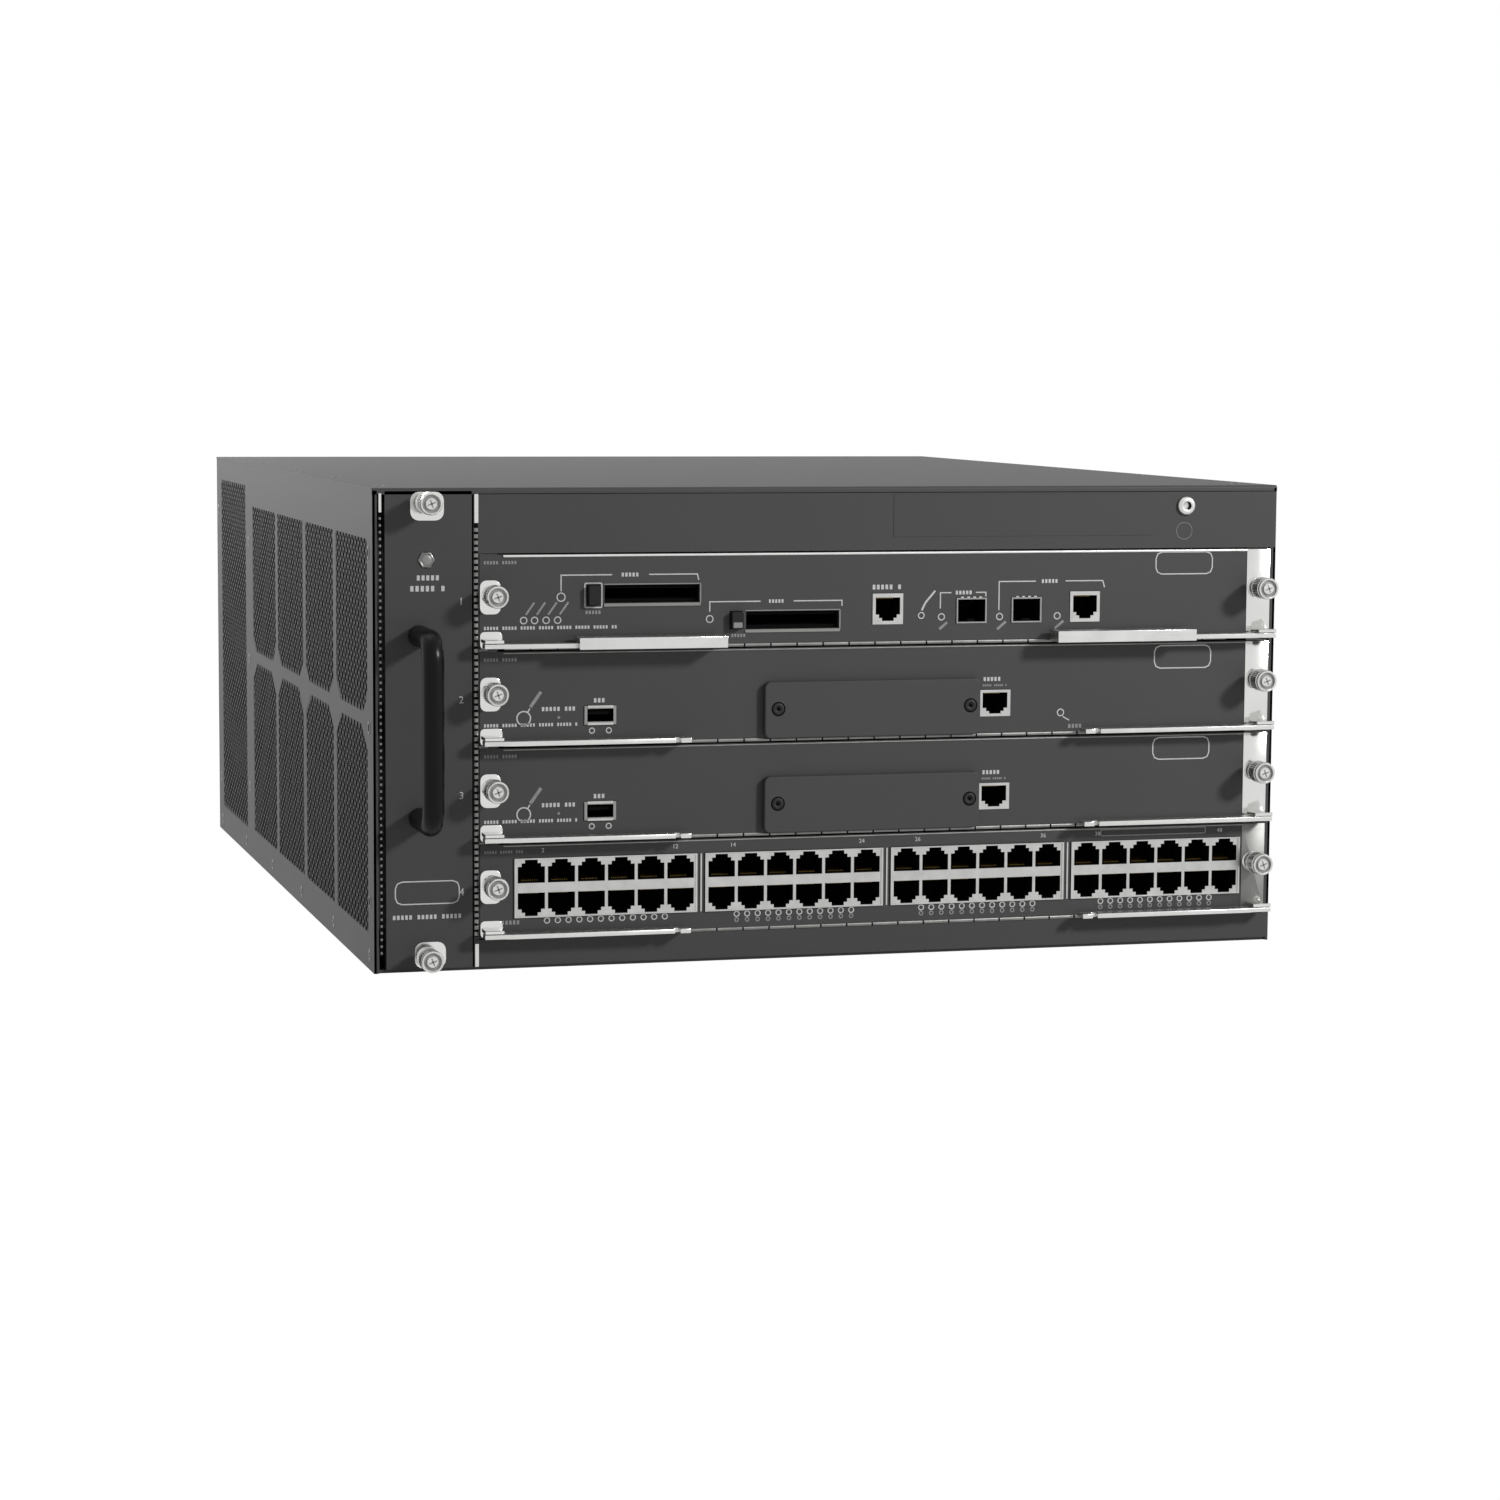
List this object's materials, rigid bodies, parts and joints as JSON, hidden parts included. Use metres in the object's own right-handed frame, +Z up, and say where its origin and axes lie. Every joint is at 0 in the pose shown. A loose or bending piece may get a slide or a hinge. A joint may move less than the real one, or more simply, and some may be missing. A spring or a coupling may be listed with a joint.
{
  "type": "modular chassis switch",
  "caption": "Rack chassis switch with a side fan tray, slide-in modules held by captive screws and ejector levers, and rear power supplies.",
  "frame": {"origin": "middle of the chassis's underside", "axes": "+X to the right seen from the front, +Y from front to rear, +Z up"},
  "size_m": [0.441, 0.622, 0.222],
  "materials": {
    "charcoal_paint": "fine satin powder coat",
    "zinc_plated_steel": "satin zinc plating",
    "turned_steel": "turned and knurled, bright",
    "black_enamel": "gloss black enamel",
    "circuit_board": "solder mask",
    "black_moulding": "moulded, matt",
    "fan_plastic": "moulded, satin",
    "status_lens": "moulded, glossy",
    "jack_brass": "nickel plated",
    "supply_case": "satin grey"
  },
  "bodies": {
    "chassis": {"bottom_pan": "charcoal_paint", "left_side_panel": "charcoal_paint", "right_side_panel": "charcoal_paint", "top_cover": "charcoal_paint", "front_frame": "charcoal_paint", "rear_panel": "charcoal_paint", "cage_wall_left": "zinc_plated_steel", "cage_wall_right": "zinc_plated_steel", "backplane": "circuit_board", "esd_jack": "jack_brass", "chassis_screws": "turned_steel"},
    "fan_tray": {"fan_tray_frame": "charcoal_paint", "fan_tray_handle": "black_enamel", "fan_status_lens": "status_lens", "fan_housings": "fan_plastic"},
    "fan_rotor_1": {"fan_rotor_1": "fan_plastic"},
    "fan_rotor_2": {"fan_rotor_2": "fan_plastic"},
    "fan_rotor_3": {"fan_rotor_3": "fan_plastic"},
    "fan_rotor_4": {"fan_rotor_4": "fan_plastic"},
    "fan_rotor_5": {"fan_rotor_5": "fan_plastic"},
    "fan_rotor_6": {"fan_rotor_6": "fan_plastic"},
    "fan_rotor_7": {"fan_rotor_7": "fan_plastic"},
    "fan_rotor_8": {"fan_rotor_8": "fan_plastic"},
    "fan_tray_screw_top": {"fan_tray_screw_top": "turned_steel"},
    "fan_tray_screw_bottom": {"fan_tray_screw_bottom": "turned_steel"},
    "supervisor": {"supervisor_faceplate": "charcoal_paint", "supervisor_board": "circuit_board", "disk_sockets": "zinc_plated_steel", "port_shells": "zinc_plated_steel"},
    "supervisor_lever_left": {"supervisor_lever_left": "zinc_plated_steel"},
    "supervisor_lever_right": {"supervisor_lever_right": "zinc_plated_steel"},
    "supervisor_screw_left": {"supervisor_screw_left": "turned_steel"},
    "supervisor_screw_right": {"supervisor_screw_right": "turned_steel"},
    "service_a": {"service_a_faceplate": "charcoal_paint", "service_a_board": "circuit_board", "service_a_cover": "charcoal_paint"},
    "service_a_lever_left": {"service_a_lever_left": "zinc_plated_steel"},
    "service_a_lever_right": {"service_a_lever_right": "zinc_plated_steel"},
    "service_a_screw_left": {"service_a_screw_left": "turned_steel"},
    "service_a_screw_right": {"service_a_screw_right": "turned_steel"},
    "service_b": {"service_b_faceplate": "charcoal_paint", "service_b_board": "circuit_board", "service_b_cover": "charcoal_paint"},
    "service_b_lever_left": {"service_b_lever_left": "zinc_plated_steel"},
    "service_b_lever_right": {"service_b_lever_right": "zinc_plated_steel"},
    "service_b_screw_left": {"service_b_screw_left": "turned_steel"},
    "service_b_screw_right": {"service_b_screw_right": "turned_steel"},
    "access": {"access_faceplate": "charcoal_paint", "access_board": "circuit_board", "jack_banks": "black_moulding"},
    "access_lever_left": {"access_lever_left": "zinc_plated_steel"},
    "access_lever_right": {"access_lever_right": "zinc_plated_steel"},
    "access_screw_left": {"access_screw_left": "turned_steel"},
    "access_screw_right": {"access_screw_right": "turned_steel"},
    "eject_button_0": {"eject_button_0": "black_moulding"},
    "eject_button_1": {"eject_button_1": "black_moulding"},
    "psu_1": {"psu_1_case": "supply_case"},
    "psu_1_switch": {"psu_1_switch": "black_moulding"},
    "psu_2": {"psu_2_case": "supply_case"},
    "psu_2_switch": {"psu_2_switch": "black_moulding"}
  },
  "joints": [
    {"name": "fan_tray_slide", "type": "slide", "parent": "chassis", "child": "fan_tray", "axis": [0, -1, 0], "range_m": [0, 0.38]},
    {"name": "fan_1_spin", "type": "hinge", "parent": "fan_tray", "child": "fan_rotor_1", "pos_m": [-0.213, -0.216, 0.0635], "axis": [1, 0, 0], "continuous": true},
    {"name": "fan_2_spin", "type": "hinge", "parent": "fan_tray", "child": "fan_rotor_2", "pos_m": [-0.213, -0.118, 0.0635], "axis": [1, 0, 0], "continuous": true},
    {"name": "fan_3_spin", "type": "hinge", "parent": "fan_tray", "child": "fan_rotor_3", "pos_m": [-0.213, -0.02, 0.0635], "axis": [1, 0, 0], "continuous": true},
    {"name": "fan_4_spin", "type": "hinge", "parent": "fan_tray", "child": "fan_rotor_4", "pos_m": [-0.213, 0.078, 0.0635], "axis": [1, 0, 0], "continuous": true},
    {"name": "fan_5_spin", "type": "hinge", "parent": "fan_tray", "child": "fan_rotor_5", "pos_m": [-0.213, -0.216, 0.1585], "axis": [1, 0, 0], "continuous": true},
    {"name": "fan_6_spin", "type": "hinge", "parent": "fan_tray", "child": "fan_rotor_6", "pos_m": [-0.213, -0.118, 0.1585], "axis": [1, 0, 0], "continuous": true},
    {"name": "fan_7_spin", "type": "hinge", "parent": "fan_tray", "child": "fan_rotor_7", "pos_m": [-0.213, -0.02, 0.1585], "axis": [1, 0, 0], "continuous": true},
    {"name": "fan_8_spin", "type": "hinge", "parent": "fan_tray", "child": "fan_rotor_8", "pos_m": [-0.213, 0.078, 0.1585], "axis": [1, 0, 0], "continuous": true},
    {"name": "fan_tray_screw_top_turn", "type": "hinge", "parent": "fan_tray", "child": "fan_tray_screw_top", "pos_m": [-0.1958, -0.276, 0.215], "axis": [0, 1, 0], "continuous": true},
    {"name": "fan_tray_screw_bottom_turn", "type": "hinge", "parent": "fan_tray", "child": "fan_tray_screw_bottom", "pos_m": [-0.1958, -0.276, 0.007], "axis": [0, 1, 0], "continuous": true},
    {"name": "supervisor_slide", "type": "slide", "parent": "chassis", "child": "supervisor", "axis": [0, -1, 0], "range_m": [0, 0.38]},
    {"name": "supervisor_lever_left_swing", "type": "hinge", "parent": "supervisor", "child": "supervisor_lever_left", "pos_m": [-0.166, -0.282, 0.14985], "axis": [0, 0, -1], "range_deg": [0, 45]},
    {"name": "supervisor_lever_right_swing", "type": "hinge", "parent": "supervisor", "child": "supervisor_lever_right", "pos_m": [0.2125, -0.282, 0.14985], "axis": [0, 0, 1], "range_deg": [0, 45]},
    {"name": "supervisor_screw_left_turn", "type": "hinge", "parent": "supervisor", "child": "supervisor_screw_left", "pos_m": [-0.1655, -0.276, 0.17265], "axis": [0, 1, 0], "continuous": true},
    {"name": "supervisor_screw_right_turn", "type": "hinge", "parent": "supervisor", "child": "supervisor_screw_right", "pos_m": [0.2105, -0.276, 0.17265], "axis": [0, 1, 0], "continuous": true},
    {"name": "service_a_slide", "type": "slide", "parent": "chassis", "child": "service_a", "axis": [0, -1, 0], "range_m": [0, 0.38]},
    {"name": "service_a_lever_left_swing", "type": "hinge", "parent": "service_a", "child": "service_a_lever_left", "pos_m": [-0.166, -0.282, 0.1054], "axis": [0, 0, -1], "range_deg": [0, 45]},
    {"name": "service_a_lever_right_swing", "type": "hinge", "parent": "service_a", "child": "service_a_lever_right", "pos_m": [0.2125, -0.282, 0.1054], "axis": [0, 0, 1], "range_deg": [0, 45]},
    {"name": "service_a_screw_left_turn", "type": "hinge", "parent": "service_a", "child": "service_a_screw_left", "pos_m": [-0.1655, -0.276, 0.1282], "axis": [0, 1, 0], "continuous": true},
    {"name": "service_a_screw_right_turn", "type": "hinge", "parent": "service_a", "child": "service_a_screw_right", "pos_m": [0.2105, -0.276, 0.1282], "axis": [0, 1, 0], "continuous": true},
    {"name": "service_b_slide", "type": "slide", "parent": "chassis", "child": "service_b", "axis": [0, -1, 0], "range_m": [0, 0.38]},
    {"name": "service_b_lever_left_swing", "type": "hinge", "parent": "service_b", "child": "service_b_lever_left", "pos_m": [-0.166, -0.282, 0.06095], "axis": [0, 0, -1], "range_deg": [0, 45]},
    {"name": "service_b_lever_right_swing", "type": "hinge", "parent": "service_b", "child": "service_b_lever_right", "pos_m": [0.2125, -0.282, 0.06095], "axis": [0, 0, 1], "range_deg": [0, 45]},
    {"name": "service_b_screw_left_turn", "type": "hinge", "parent": "service_b", "child": "service_b_screw_left", "pos_m": [-0.1655, -0.276, 0.08375], "axis": [0, 1, 0], "continuous": true},
    {"name": "service_b_screw_right_turn", "type": "hinge", "parent": "service_b", "child": "service_b_screw_right", "pos_m": [0.2105, -0.276, 0.08375], "axis": [0, 1, 0], "continuous": true},
    {"name": "access_slide", "type": "slide", "parent": "chassis", "child": "access", "axis": [0, -1, 0], "range_m": [0, 0.38]},
    {"name": "access_lever_left_swing", "type": "hinge", "parent": "access", "child": "access_lever_left", "pos_m": [-0.166, -0.282, 0.0165], "axis": [0, 0, -1], "range_deg": [0, 45]},
    {"name": "access_lever_right_swing", "type": "hinge", "parent": "access", "child": "access_lever_right", "pos_m": [0.2125, -0.282, 0.0165], "axis": [0, 0, 1], "range_deg": [0, 45]},
    {"name": "access_screw_left_turn", "type": "hinge", "parent": "access", "child": "access_screw_left", "pos_m": [-0.1655, -0.276, 0.0393], "axis": [0, 1, 0], "continuous": true},
    {"name": "access_screw_right_turn", "type": "hinge", "parent": "access", "child": "access_screw_right", "pos_m": [0.2105, -0.276, 0.0393], "axis": [0, 1, 0], "continuous": true},
    {"name": "eject_button_0_press", "type": "slide", "parent": "supervisor", "child": "eject_button_0", "axis": [0, 1, 0], "range_m": [0, 0.003], "stiffness_N_per_m": 300},
    {"name": "eject_button_1_press", "type": "slide", "parent": "supervisor", "child": "eject_button_1", "axis": [0, 1, 0], "range_m": [0, 0.003], "stiffness_N_per_m": 300},
    {"name": "psu_1_slide", "type": "slide", "parent": "chassis", "child": "psu_1", "axis": [0, 1, 0], "range_m": [0, 0.13]},
    {"name": "psu_1_switch_rock", "type": "hinge", "parent": "psu_1", "child": "psu_1_switch", "pos_m": [-0.1255, 0.272, 0.0355], "axis": [1, 0, 0], "range_deg": [-10, 10]},
    {"name": "psu_2_slide", "type": "slide", "parent": "chassis", "child": "psu_2", "axis": [0, 1, 0], "range_m": [0, 0.13]},
    {"name": "psu_2_switch_rock", "type": "hinge", "parent": "psu_2", "child": "psu_2_switch", "pos_m": [0.0855, 0.272, 0.0355], "axis": [1, 0, 0], "range_deg": [-10, 10]}
  ]
}
